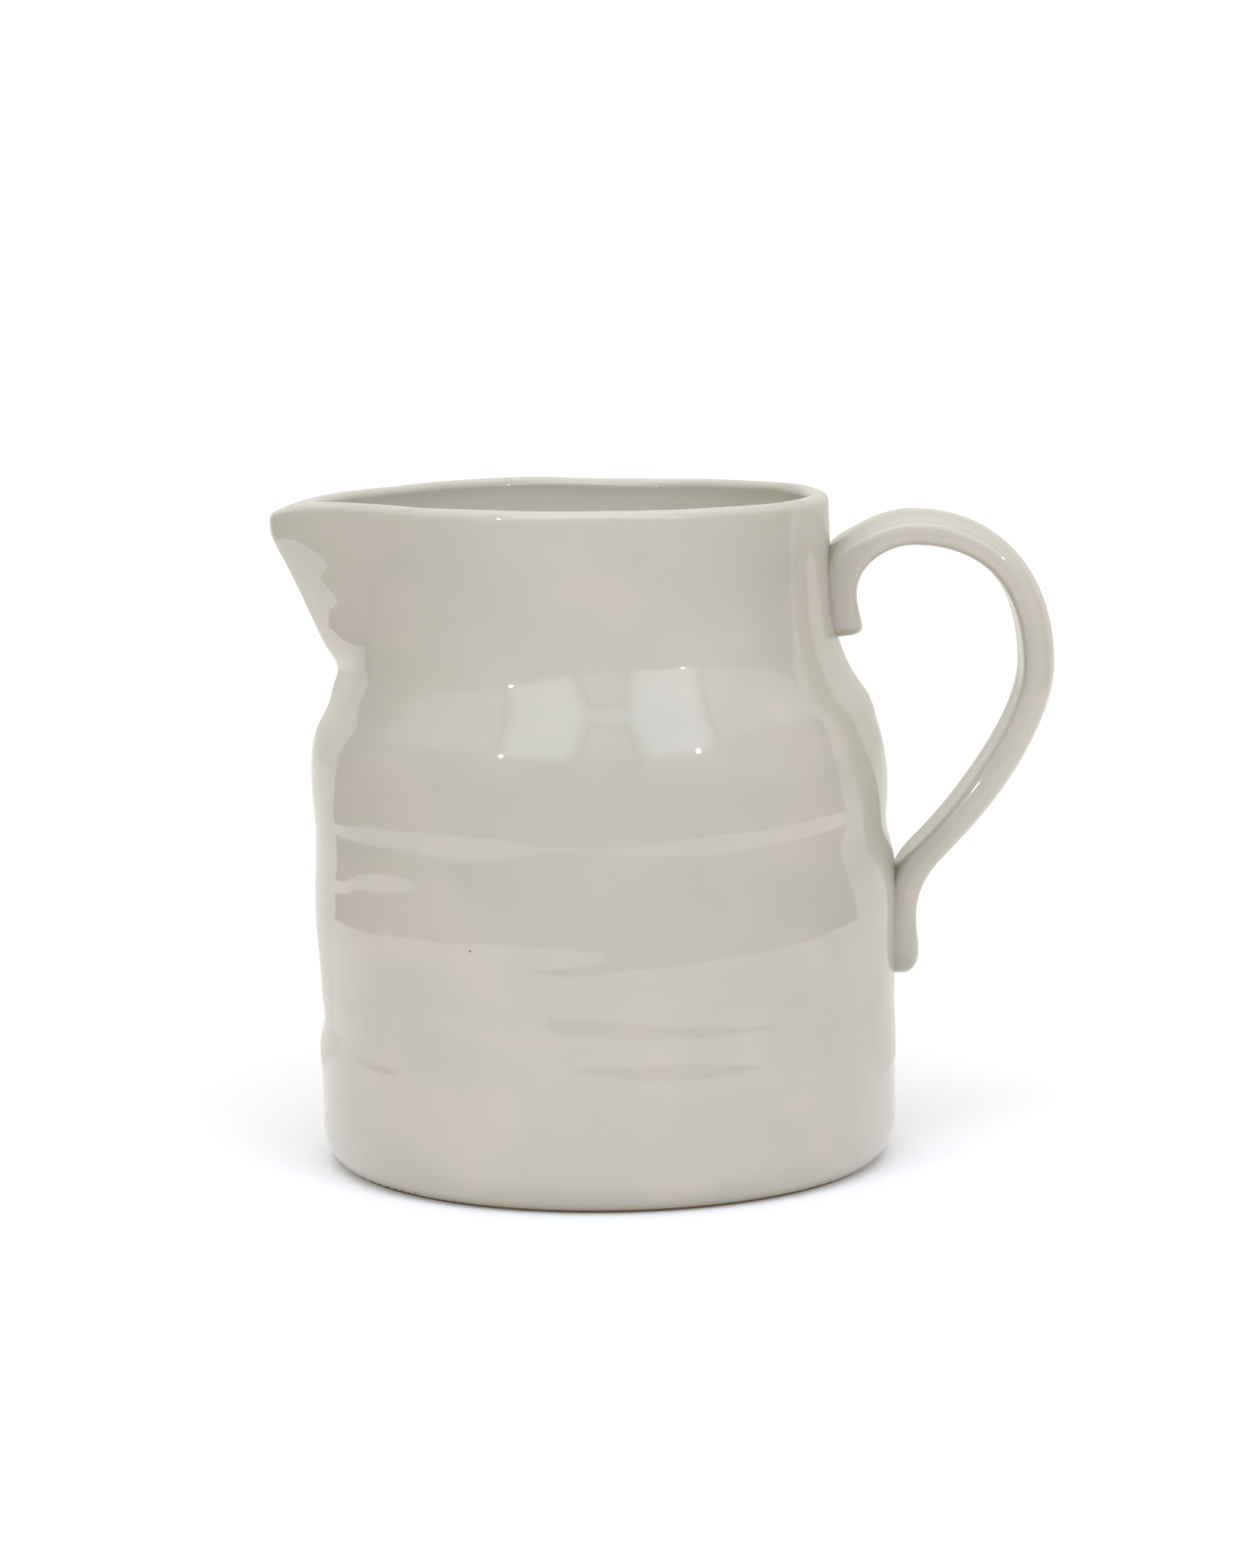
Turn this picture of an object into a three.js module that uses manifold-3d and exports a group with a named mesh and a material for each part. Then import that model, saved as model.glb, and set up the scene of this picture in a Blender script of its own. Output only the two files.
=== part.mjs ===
// A stoneware pitcher: a thrown pot on a luted foot ring, with a folded pouring spout let into a notch in
// its rim and a pulled strap handle. Millimetres, +Z up. The pitcher stands on z = 0 and pours towards -X.
// Every clay piece is its own solid, and the slip that joins two of them is a solid as well.
import * as THREE from 'three';
import { mergeVertices } from 'three/addons/utils/BufferGeometryUtils.js';
import Module from 'manifold-3d';

const wasm = await Module();
wasm.setup();

// Pot
const rimHeight = 180;
const bellyRadius = 78;
const neckRadius = 65.2;
const shoulderBottom = 103;
const shoulderTop = 150;
const wallThickness = 5.2;
const floorThickness = 7;
const footCornerRadius = 11;
const insideCornerRadius = 14;
const rimLean = 4.3;
const leanStart = 60;
const straightWallTop = 78;

// Foot ring
const footRingHeight = 3;
const footRingTaper = 1.4;
const footRingWidth = 8;

// Spout
const spoutReach = 89;
const spoutTipDrop = 3.4;
const spoutDropBand = 30;
const spoutSlope = 0.47;
const spoutRidgeTop = 175;
const spoutRidgeSoftness = 1.5;
const spoutTipSoftness = 0.035;
const spoutNotchHalfWidth = 47;
const spoutNotchDepth = 50;

// Handle
const strapThickness = 10;
const strapWidth = 24;
const strapSquareness = 0.62;
const handleReach = 38;
const handleTopBelowRim = 10;
const archCrown = 0.35;
const archWidest = 0.64;
const upperTailBelowRim = 39;
const upperTailStraight = 11;
const lowerRootHeight = 79;
const lowerBendDrop = 13;
const lowerBendReach = 4;
const lowerTailHeight = 50;
const tailThickness = 5.4;
const tailTipSwell = 1.2;
const tailTipSwellLength = 12;
const tailTipWidth = 20;
const tailTipRounding = 4;
const tailTipBluntness = 0.6;
const tailTaperLength = 30;

// Joints between the clay pieces
const slipThickness = 1.2;
const footSlipThickness = 0.6;
const clearance = 0.3;
const slipOverhang = 1;

// Fineness of the curved faces
const turnSteps = 72;
const wallSteps = 16;
const arcSteps = 5;
const strapSteps = 46;
const strapSides = 14;
const strapTipGap = 0.002;

const { smoothstep, lerp } = THREE.MathUtils;
const potFloorHeight = footRingHeight + clearance + footSlipThickness + clearance;
const slipStack = clearance + slipThickness + clearance;
const lipRadius = wallThickness / 2;

const clay = { roughness: 0.16, metalness: 0 };
const glazedClay = new THREE.MeshStandardMaterial({ color: 0xc4beb2, ...clay });
const glazedHandleClay = new THREE.MeshStandardMaterial({ color: 0xc8c2b8, ...clay });
const bareClay = new THREE.MeshStandardMaterial({ color: 0x9c8468, roughness: 0.85, metalness: 0 });
const slip = new THREE.MeshStandardMaterial({ color: 0xb4ab98, roughness: 0.3, metalness: 0 });

function solidFrom(geometry) {
  const bare = geometry.clone();
  bare.deleteAttribute('normal');
  bare.deleteAttribute('uv');
  const merged = mergeVertices(bare.index ? bare : mergeVertices(bare), 1e-4);
  const vertProperties = new Float32Array(merged.attributes.position.array);
  const triVerts = new Uint32Array(merged.index.array);
  return new wasm.Manifold(new wasm.Mesh({ numProp: 3, vertProperties, triVerts }));
}

function geometryFrom(solid) {
  const mesh = solid.getMesh();
  const positions = [];
  for (let vertex = 0; vertex < mesh.numVert; vertex += 1) {
    const start = vertex * mesh.numProp;
    positions.push(...mesh.vertProperties.subarray(start, start + 3));
  }
  const geometry = new THREE.BufferGeometry();
  geometry.setAttribute('position', new THREE.Float32BufferAttribute(positions, 3));
  geometry.setIndex([...mesh.triVerts]);
  return geometry;
}

// The pot's outer radius at a height, and how far its centre has moved towards the spout there.
function wallRadius(z) {
  return lerp(bellyRadius, neckRadius, smoothstep(z, shoulderBottom, shoulderTop));
}

function lean(z) {
  return -rimLean * smoothstep(z, leanStart, rimHeight);
}

// The spout's walls are the two planes that touch the neck and meet at the ridge line, so the radius in the
// direction theta, measured from the ridge, is the neck's own times this.
function spoutSpread(theta, z) {
  const ridge = spoutReach - spoutSlope * Math.max(spoutRidgeTop - z, 0) + lean(z);
  const past = ridge - wallRadius(z);
  const proud = (past + Math.hypot(past, spoutRidgeSoftness)) / 2;
  const touch = Math.acos(wallRadius(z) / (wallRadius(z) + proud)) + spoutTipSoftness;
  const off = Math.hypot(theta, spoutTipSoftness);
  return off < touch ? 1 / Math.cos(touch - off) : 1;
}

function shapedPot(point) {
  const radius = Math.hypot(point.x, point.y);
  const theta = Math.atan2(point.y, -point.x);
  const spread = spoutSpread(theta, point.z);
  const nearTip = (spread - 1) / (spoutReach / neckRadius - 1);
  const drop = spoutTipDrop * nearTip ** 2 * smoothstep(point.z, rimHeight - spoutDropBand, rimHeight);
  return new THREE.Vector3(
    -radius * spread * Math.cos(theta) + lean(point.z),
    radius * spread * Math.sin(theta),
    point.z - drop,
  );
}

function turned(profile, place) {
  const geometry = new THREE.LatheGeometry(profile, turnSteps);
  geometry.rotateX(Math.PI / 2);
  const positions = geometry.attributes.position;
  const point = new THREE.Vector3();
  for (let vertex = 0; vertex < positions.count; vertex += 1) {
    point.fromBufferAttribute(positions, vertex);
    point.copy(place(point));
    positions.setXYZ(vertex, point.x, point.y, point.z);
  }
  return solidFrom(geometry);
}

function arc(profile, centreX, centreZ, radius, from, to, steps) {
  for (let step = 0; step <= steps; step += 1) {
    const angle = lerp(from, to, step / steps);
    profile.push(new THREE.Vector2(centreX + radius * Math.cos(angle), centreZ + radius * Math.sin(angle)));
  }
}

// The corner arc under the belly is cut off where the foot ring starts.
const cornerCentre = bellyRadius - footCornerRadius;
const undersideAngle = Math.asin((footCornerRadius - potFloorHeight) / footCornerRadius);
const undersideRadius = cornerCentre + footCornerRadius * Math.cos(undersideAngle);

function potOutside(profile, grown) {
  arc(profile, cornerCentre, footCornerRadius, footCornerRadius + grown, -undersideAngle, 0, arcSteps);
  const lipBottom = rimHeight - lipRadius;
  for (let step = 1; step <= wallSteps; step += 1) {
    const z = lerp(straightWallTop, lipBottom, step / wallSteps);
    profile.push(new THREE.Vector2(wallRadius(z) + grown, z));
  }
}

function wholePot() {
  const profile = [new THREE.Vector2(0, potFloorHeight)];
  potOutside(profile, 0);
  arc(profile, neckRadius - lipRadius, rimHeight - lipRadius, lipRadius, Math.PI / 8, Math.PI, arcSteps);
  for (let step = 1; step < wallSteps; step += 1) {
    const z = lerp(rimHeight - lipRadius, straightWallTop, step / wallSteps);
    profile.push(new THREE.Vector2(wallRadius(z) - wallThickness, z));
  }
  const insideFloor = potFloorHeight + floorThickness;
  const insideCentre = bellyRadius - wallThickness - insideCornerRadius;
  arc(profile, insideCentre, insideFloor + insideCornerRadius, insideCornerRadius, 0, -Math.PI / 2, arcSteps);
  profile.push(new THREE.Vector2(0, insideFloor));
  return turned(profile, shapedPot);
}

// Everything inside the pot's outer face, moved outwards by a distance: it trims what is luted to the wall.
function potEnvelope(grown) {
  const profile = [new THREE.Vector2(0, potFloorHeight)];
  potOutside(profile, grown);
  profile.push(new THREE.Vector2(neckRadius + grown, rimHeight + strapWidth));
  profile.push(new THREE.Vector2(0, rimHeight + strapWidth));
  return turned(profile, (point) => new THREE.Vector3(point.x + lean(point.z), point.y, point.z));
}

// A bar from the axis towards +X or -X, whose section is an outline drawn in y and z.
function barAlongX(outline, side, curveSegments) {
  const depth = 2 * Math.max(spoutReach, bellyRadius);
  const bar = new THREE.ExtrudeGeometry(outline, { depth, bevelEnabled: false, curveSegments });
  bar.rotateX(Math.PI / 2);
  bar.rotateZ((side * Math.PI) / 2);
  return solidFrom(bar);
}

// A bar along X whose section is the round-bottomed notch that takes the spout.
function notchBar(grown) {
  const top = rimHeight + spoutNotchDepth;
  const halfWidth = spoutNotchHalfWidth + grown;
  const outline = new THREE.Shape();
  outline.moveTo(halfWidth, top);
  outline.lineTo(-halfWidth, top);
  outline.lineTo(-halfWidth, rimHeight);
  outline.absellipse(0, rimHeight, halfWidth, spoutNotchDepth + grown, Math.PI, 2 * Math.PI, false);
  return barAlongX(outline, -1, turnSteps / 3);
}

// The slip between a handle tail and the wall: a pad with round corners that follows the wall.
function slipPad(bottom, top) {
  const halfWidth = strapWidth / 2 + slipOverhang;
  const corner = halfWidth * 0.6;
  const outline = new THREE.Shape();
  outline.moveTo(-halfWidth + corner, bottom);
  outline.absarc(halfWidth - corner, bottom + corner, corner, -Math.PI / 2, 0, false);
  outline.absarc(halfWidth - corner, top - corner, corner, 0, Math.PI / 2, false);
  outline.absarc(-halfWidth + corner, top - corner, corner, Math.PI / 2, Math.PI, false);
  outline.absarc(-halfWidth + corner, bottom + corner, corner, Math.PI, 1.5 * Math.PI, false);
  const layer = potEnvelope(clearance + slipThickness).subtract(potEnvelope(clearance));
  return barAlongX(outline, 1, arcSteps).intersect(layer);
}

// The handle's middle line in the plane y = 0: up the neck from the upper tail's tip, over the arch, down to
// the belly and along it to the lower tail's tip.
function handleLine() {
  const onWall = (z) => wallRadius(z) + lean(z) + slipThickness + tailThickness / 2;
  const top = rimHeight - handleTopBelowRim;
  const upperTip = rimHeight - upperTailBelowRim;
  const upperBend = upperTip + upperTailStraight;
  const lowerBend = lowerRootHeight - lowerBendDrop;
  const outermost = bellyRadius + handleReach;
  const neckSide = onWall(upperBend);
  const bellySide = onWall(lowerBend);
  const crown = lerp(neckSide, outermost, archCrown);
  const widest = lerp(lowerRootHeight, top, archWidest);
  const at = (x, z) => new THREE.Vector3(x, 0, z);
  const line = new THREE.CurvePath();
  line.add(new THREE.LineCurve3(at(onWall(upperTip), upperTip), at(neckSide, upperBend)));
  line.add(
    new THREE.CubicBezierCurve3(
      at(neckSide, upperBend),
      at(neckSide, lerp(upperBend, top, 0.62)),
      at(lerp(neckSide, crown, 0.4), top),
      at(crown, top),
    ),
  );
  line.add(
    new THREE.CubicBezierCurve3(
      at(crown, top),
      at(lerp(crown, outermost, 0.62), top),
      at(outermost, lerp(widest, top, 0.6)),
      at(outermost, widest),
    ),
  );
  line.add(
    new THREE.CubicBezierCurve3(
      at(outermost, widest),
      at(outermost, lerp(lowerRootHeight, widest, 0.66)),
      at(lerp(bellySide, outermost, 0.5), lerp(lowerRootHeight, widest, 0.31)),
      at(bellySide + lowerBendReach, lowerRootHeight + lowerBendReach / 2),
    ),
  );
  line.add(
    new THREE.QuadraticBezierCurve3(
      at(bellySide + lowerBendReach, lowerRootHeight + lowerBendReach / 2),
      at(bellySide, lerp(lowerBend, lowerRootHeight, 0.75)),
      at(bellySide, lowerBend),
    ),
  );
  line.add(new THREE.LineCurve3(at(bellySide, lowerBend), at(onWall(lowerTailHeight), lowerTailHeight)));
  return line;
}

// Turns a circle's sine or cosine into that of a soft rectangle.
function squared(value) {
  return Math.sign(value) * Math.abs(value) ** strapSquareness;
}

// The strap is a soft rectangle in section. It thins to its tails and closes in a rounded tip at both ends.
function strapRing(line, along) {
  const middle = line.getPointAt(along);
  const tangent = line.getTangentAt(along);
  const across = new THREE.Vector3(-tangent.z, 0, tangent.x);
  const fromTip = Math.min(along, 1 - along) * line.getLength();
  const intoTail = smoothstep(fromTip, upperTailBelowRim / 2, upperTailBelowRim);
  const swell = tailTipSwell * (1 - smoothstep(fromTip, 0, tailTipSwellLength));
  const close = Math.sqrt(1 - (1 - Math.min(fromTip / tailTipRounding, 1)) ** 2);
  const thick = (lerp(tailThickness + slipThickness + swell, strapThickness, intoTail) / 2) * close;
  const widen = smoothstep(fromTip, 0, tailTaperLength);
  const wide = (lerp(tailTipWidth, strapWidth, widen) / 2) * lerp(tailTipBluntness, 1, close);
  const ring = [];
  for (let side = 0; side < strapSides; side += 1) {
    const angle = (2 * Math.PI * side) / strapSides;
    const sideways = squared(Math.cos(angle)) * wide;
    const outwards = squared(Math.sin(angle)) * thick;
    ring.push(middle.clone().addScaledVector(across, outwards).add(new THREE.Vector3(0, sideways, 0)));
  }
  return ring;
}

function strap() {
  const line = handleLine();
  const positions = [];
  const faces = [];
  for (let step = 0; step <= strapSteps; step += 1) {
    const along = lerp(strapTipGap, 1 - strapTipGap, step / strapSteps);
    strapRing(line, along).forEach((point) => positions.push(...point.toArray()));
  }
  for (let step = 0; step < strapSteps; step += 1) {
    for (let side = 0; side < strapSides; side += 1) {
      const next = (side + 1) % strapSides;
      const here = step * strapSides;
      const ahead = here + strapSides;
      faces.push(here + side, here + next, ahead + side, here + next, ahead + next, ahead + side);
    }
  }
  const last = strapSteps * strapSides;
  for (let side = 1; side < strapSides - 1; side += 1) {
    faces.push(0, side + 1, side, last, last + side, last + side + 1);
  }
  const geometry = new THREE.BufferGeometry();
  geometry.setAttribute('position', new THREE.Float32BufferAttribute(positions, 3));
  geometry.setIndex(faces);
  return solidFrom(geometry).subtract(potEnvelope(slipStack));
}

// A ring under the pot: it narrows downwards, as the pot's corner does.
function ring(bottom, top, outerAtBottom, outerAtTop) {
  const inner = outerAtBottom - footRingWidth;
  const profile = [
    new THREE.Vector2(inner, bottom),
    new THREE.Vector2(outerAtBottom, bottom),
    new THREE.Vector2(outerAtTop, top),
    new THREE.Vector2(inner, top),
    new THREE.Vector2(inner, bottom),
  ];
  return turned(profile, (point) => point);
}

const pitcher = new THREE.Group();

function add(name, solid, material) {
  const mesh = new THREE.Mesh(geometryFrom(solid), material);
  mesh.name = name;
  pitcher.add(mesh);
}

const pot = wholePot();
const spoutCut = notchBar(0);
const slipInside = notchBar(clearance);
const slipOutside = notchBar(clearance + slipThickness);
const potCut = notchBar(slipStack);
const footRadius = undersideRadius - footRingTaper;
const footSlipBottom = footRingHeight + clearance;
const footSlipTop = footSlipBottom + footSlipThickness;
const upperPadBottom = rimHeight - upperTailBelowRim - slipOverhang;
const upperPadTop = rimHeight - handleTopBelowRim;
const lowerPadBottom = lowerTailHeight - slipOverhang;

add('vessel_body', pot.subtract(potCut), glazedClay);
add('pouring_spout', pot.intersect(spoutCut), glazedClay);
add('spout_slip_seam', pot.intersect(slipOutside).subtract(slipInside), slip);
add('handle_strap', strap(), glazedHandleClay);
add('upper_handle_slip_joint', slipPad(upperPadBottom, upperPadTop), slip);
add('lower_handle_slip_joint', slipPad(lowerPadBottom, lowerRootHeight), slip);
add('foot_ring', ring(0, footRingHeight, footRadius, undersideRadius), bareClay);
add('foot_ring_slip_joint', ring(footSlipBottom, footSlipTop, footRadius, footRadius), slip);

// The group's origin is the middle of the pitcher's box at the height that it stands on.
const box = new THREE.Box3().setFromObject(pitcher);
pitcher.position.x = -(box.min.x + box.max.x) / 2;

export default pitcher;
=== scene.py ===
import math

import bpy
import numpy as np
from mathutils import Matrix, Vector


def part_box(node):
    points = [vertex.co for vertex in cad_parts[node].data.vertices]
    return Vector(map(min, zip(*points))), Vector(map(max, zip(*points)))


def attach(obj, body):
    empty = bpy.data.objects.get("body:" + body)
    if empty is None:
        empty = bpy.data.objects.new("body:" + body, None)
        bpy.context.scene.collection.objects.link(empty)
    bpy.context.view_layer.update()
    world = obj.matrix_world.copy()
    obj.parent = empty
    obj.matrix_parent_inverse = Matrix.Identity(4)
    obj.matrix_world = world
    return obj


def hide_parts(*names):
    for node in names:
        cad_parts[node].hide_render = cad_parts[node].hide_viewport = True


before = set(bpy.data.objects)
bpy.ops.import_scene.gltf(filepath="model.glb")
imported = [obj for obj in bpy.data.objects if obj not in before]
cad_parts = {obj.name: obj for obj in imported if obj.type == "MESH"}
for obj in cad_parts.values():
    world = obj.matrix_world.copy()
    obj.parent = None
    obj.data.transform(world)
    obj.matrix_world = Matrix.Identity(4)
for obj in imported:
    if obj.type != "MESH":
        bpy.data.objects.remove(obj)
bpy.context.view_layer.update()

# ---------------------------------------------------------------------------------------------------------
# The pot: floor, belly, shoulder and neck, thrown in one piece from greige stoneware. Soft throwing marks
# run round the wall, the rim is a little wavy, and the rim is notched where the spout is let in.
# ---------------------------------------------------------------------------------------------------------
pot_low, pot_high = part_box("vessel_body")
foot_low, foot_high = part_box("foot_ring")
spout_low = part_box("pouring_spout")[0]

MM = pot_high.z / 180
AXIS_X = (foot_low.x + foot_high.x) / 2
RIM = pot_high.z
BELLY = (pot_high.y - pot_low.y) / 2
WALL = 5.2 * MM
UNDERSIDE = 4.0 * MM
GLAZE_EDGE = 0.9 * MM
FLOOR_TOP = 11.2 * MM
CORNER = 12 * MM
CORNER_CENTRE = 10.2 * MM
INSIDE_CORNER = 14 * MM
RIM_LEAN = 4.3 * MM
LEAN_START = 60 * MM

# Height and outer radius, from the top of the foot corner to the rim.
OUTLINE = (
    (8, 77.9), (30, 78.0), (48, 77.6), (70, 78.2), (82, 78.0), (91, 77.4), (104, 77.6), (112, 76.9),
    (119, 75.1), (126, 72.2), (133, 68.9), (140, 66.5), (148, 65.3), (158, 64.9), (180, 64.9),
)
OUTLINE_SOFTNESS = 2.2 * MM
TABLE_STEP = 0.25 * MM

table_z = np.arange(-20 * MM, RIM + 20 * MM, TABLE_STEP)
outline_z, outline_r = np.array(OUTLINE).T * MM
outline_r = outline_r * (BELLY + 0.5 * MM) / outline_r.max()
bell = np.exp(-0.5 * (np.arange(-40, 41) * TABLE_STEP / OUTLINE_SOFTNESS) ** 2)
sharp_r = np.interp(table_z, outline_z, outline_r)
padded_r = np.pad(sharp_r, 40, mode="edge")
table_r = np.convolve(padded_r, bell / bell.sum(), mode="valid")


def wall_radius(z):
    return np.interp(z, table_z, table_r)


def smooth(value, low, high):
    share = np.clip((value - low) / (high - low), 0, 1)
    return share * share * (3 - 2 * share)


def lean(z):
    return -RIM_LEAN * smooth(z, LEAN_START, RIM)


# Marks that the hand left: height, rise towards the handle, half height, depth, side, half width. The side
# is in degrees round from the spout through the front, so 90 is the front and 180 the handle.
MARKS = (
    (124, 0, 4.5, 1.0, 180, 60),
    (91, 0, 6.0, -1.1, 180, 48),
    (125, 0, 6.0, -2.0, 0, 45),
    (134, 0, 4.5, -2.2, 0, 30),
    (133, 0, 7.0, -0.6, 58, 30),
    (128, 0, 8.0, 0.4, 120, 30),
    (66, 0, 12.0, 0.55, 0, 60),
    (39, 0, 4.5, -0.95, 0, 44),
    (31, 0, 3.0, 0.2, 0, 40),
    (88, 9, 5.0, -0.32, 95, 85),
    (63, 6, 4.5, 0.26, 95, 55),
    (56, 2, 4.0, -0.14, 75, 45),
    (50, -5, 4.0, -0.26, 115, 50),
    (31, 2, 4.0, 0.13, 95, 60),
    (99, 3, 6.0, 0.15, 70, 50),
    (88, -4, 5.0, -0.35, 270, 70),
    (70, 5, 5.0, 0.3, 255, 60),
    (48, -3, 5.0, -0.3, 285, 65),
    (155, 2, 7.0, -0.3, 95, 60),
    (165, -2, 6.0, 0.25, 250, 60),
)
RIPPLES = (
    (9, 14, 0.17, 3),
    (17, 31, 0.09, 8),
    (7, 5, 0.35, 11),
)


def lattice(around, up, seed, side, height):
    """Soft random relief from -1 to 1 that closes on itself round the pot."""
    values = np.random.default_rng(seed).uniform(-1, 1, (up + 3, around))
    across = np.mod(side, 2 * math.pi) / (2 * math.pi) * around
    along = np.clip(height / RIM, 0, 1) * up
    column, row = np.floor(across).astype(int), np.floor(along).astype(int)
    mix_across, mix_along = across - column, along - row
    mix_across = mix_across**2 * (3 - 2 * mix_across)
    mix_along = mix_along**2 * (3 - 2 * mix_along)
    left, right = column % around, (column + 1) % around
    low = values[row, left] * (1 - mix_across) + values[row, right] * mix_across
    high = values[row + 1, left] * (1 - mix_across) + values[row + 1, right] * mix_across
    return low * (1 - mix_along) + high * mix_along


def hand_relief(side, z):
    relief = np.zeros_like(side + z)
    for height, rise, half_height, depth, middle, half_width in MARKS:
        turn = np.mod(side - math.radians(middle) + math.pi, 2 * math.pi) - math.pi
        level = height * MM + rise * MM * np.clip(turn, -1.5, 1.5)
        near = np.exp(-(((z - level) / (half_height * MM)) ** 2))
        relief = relief + depth * MM * near * np.exp(-((turn / math.radians(half_width)) ** 2))
    for around, up, depth, seed in RIPPLES:
        relief = relief + depth * MM * lattice(around, up, seed, side, z + 0 * side)
    return relief * smooth(z, 2 * MM, 14 * MM)


# The spout's two walls touch the neck and meet in a soft ridge, which runs down to the neck.
SPOUT_REACH = AXIS_X - spout_low.x
SPOUT_RIDGE_TOP = 173 * MM
SPOUT_SLOPE = 0.455
SPOUT_BLEND = 4.5 * MM
SPOUT_CORNER = 2.5 * MM
SPOUT_NOSE_DROP = 5.2 * MM
SPOUT_NOSE_THICKER = 9 * MM
SPOUT_NOSE = 0.055
SPOUT_TIP_DROP = 1.6 * MM
SPOUT_DROP_BAND = 30 * MM


def spout_spread(side, z):
    plain = wall_radius(z)
    below = SPOUT_RIDGE_TOP - z
    ridge = SPOUT_REACH - SPOUT_SLOPE * (below + np.hypot(below, SPOUT_CORNER)) / 2 + lean(z)
    past = ridge - plain
    proud = (past + np.hypot(past, SPOUT_BLEND)) / 2
    touch = np.arccos(plain / (plain + proud)) + SPOUT_NOSE
    turn = np.mod(side + math.pi, 2 * math.pi) - math.pi
    off = np.hypot(turn, SPOUT_NOSE)
    return 1 / np.cos(np.maximum(touch - off, 0))


# The section of the wall as one line: from the middle of the underside out over the foot corner, up the
# outside, over the lip, down the inside and back to the middle of the floor.
def arc_points(centre_r, centre_z, radius, start, end, count):
    turn = np.radians(np.linspace(start, end, count))
    return np.stack([centre_r + radius * np.cos(turn), centre_z + radius * np.sin(turn)], 1)


LIP = WALL / 2
CORNER_POINTS = 40
WALL_POINTS = 350
INSIDE_POINTS = 340
LIP_POINTS = 41
under_points = [[0, UNDERSIDE], [BELLY - CORNER + 4 * MM, UNDERSIDE], [BELLY - CORNER + 6 * MM, GLAZE_EDGE]]
corner_start = -math.degrees(math.asin((CORNER_CENTRE - GLAZE_EDGE) / CORNER))
up_wall = np.linspace(CORNER_CENTRE, RIM - LIP, WALL_POINTS)
down_wall = np.linspace(RIM - LIP, FLOOR_TOP + INSIDE_CORNER, INSIDE_POINTS)
lip_points = arc_points(wall_radius(RIM) - LIP, RIM - LIP, LIP, 0, 180, LIP_POINTS)
section = np.concatenate(
    [
        under_points,
        arc_points(BELLY - CORNER, CORNER_CENTRE, CORNER, corner_start, 0, CORNER_POINTS),
        np.stack([wall_radius(up_wall), up_wall], 1)[1:],
        lip_points[1:],
        np.stack([wall_radius(down_wall) - WALL, down_wall], 1)[1:],
        arc_points(
            BELLY - WALL - INSIDE_CORNER, FLOOR_TOP + INSIDE_CORNER, INSIDE_CORNER, 0, -90, CORNER_POINTS
        )[1:],
        [[0, FLOOR_TOP]],
    ]
)
section_s = np.concatenate([[0], np.cumsum(np.hypot(*np.diff(section, axis=0).T))])
foot_index = len(under_points)
rim_index = foot_index + CORNER_POINTS + WALL_POINTS - 1 + LIP_POINTS // 2 - 1
S_RIM = section_s[rim_index]
S_END = section_s[-1]
S_FOOT = section_s[foot_index]
outside = slice(foot_index, rim_index)

RIM_WAVE = 0.6 * MM
RIM_WAVE_BAND = 22 * MM


def wall_point(side, along):
    """The wall's surface: side is the angle round from the spout, along the way along the section."""
    plain_radius = np.interp(along, section_s, section[:, 0])
    z = np.interp(along, section_s, section[:, 1])
    share = np.clip(plain_radius / (BELLY - CORNER), 0, 1)
    spread = spout_spread(side, z)
    radius = (plain_radius + hand_relief(side, z) * share**4) * spread
    near_tip = (spread - 1) / (SPOUT_REACH / wall_radius(RIM) - 1)
    top = smooth(z, RIM - SPOUT_DROP_BAND, RIM)
    inward = np.clip((wall_radius(z) - plain_radius) / WALL, 0, 1)
    radius = radius - SPOUT_NOSE_THICKER * near_tip**2 * top * smooth(inward, 0, 1)
    drop = near_tip**2 * (SPOUT_NOSE_DROP + (SPOUT_TIP_DROP - SPOUT_NOSE_DROP) * smooth(inward, 0, 1))
    rim_band = smooth(z, RIM - RIM_WAVE_BAND, RIM)
    wave = lattice(11, 1, 5, side, 0 * z) * 0.7 + lattice(23, 1, 6, side, 0 * z) * 0.3
    z_shaped = z - drop * top + RIM_WAVE * wave * rim_band
    return np.stack(
        [AXIS_X + lean(z) - radius * np.cos(side), -radius * np.sin(side), z_shaped], -1
    )


def wall_normal(side, along):
    step_side, step_along = 0.004, 0.35 * MM
    across = wall_point(side + step_side, along) - wall_point(side - step_side, along)
    up = wall_point(side, along + step_along) - wall_point(side, along - step_along)
    normal = np.cross(across, up)
    return normal / np.maximum(np.linalg.norm(normal, axis=-1, keepdims=True), 1e-12)


def make_piece(name, points, faces, normals=None, marks=None):
    """A smooth shaded mesh object of the points that its faces use, with named point values."""
    used = np.unique(np.concatenate([np.asarray(face) for face in faces]))
    new_place = np.zeros(len(points), int)
    new_place[used] = np.arange(len(used))
    mesh = bpy.data.meshes.new(name)
    new_faces = [[int(new_place[corner]) for corner in face] for face in faces]
    mesh.from_pydata(points[used].tolist(), [], new_faces)
    mesh.polygons.foreach_set("use_smooth", [True] * len(mesh.polygons))
    for label, values in (marks or {}).items():
        layer = mesh.attributes.new(label, "FLOAT", "POINT")
        layer.data.foreach_set("value", np.asarray(values, float)[used])
    if normals is not None:
        mesh.normals_split_custom_set_from_vertices(normals[used].tolist())
    piece = bpy.data.objects.new(name, mesh)
    bpy.context.scene.collection.objects.link(piece)
    return piece


def quads(grid, closed=False):
    """Faces between the rows and columns of a grid of point numbers; a closed grid joins its last column
    to its first."""
    if closed:
        grid = np.concatenate([grid, grid[:, :1]], 1)
    corners = (grid[:-1, :-1], grid[:-1, 1:], grid[1:, 1:], grid[1:, :-1])
    return np.stack(corners, -1).reshape(-1, 4).tolist()


def fan(pole, line):
    """Triangles from one point to each step of a line of points."""
    return [[pole, here, beside] for here, beside in zip(line[:-1], line[1:])]


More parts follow.
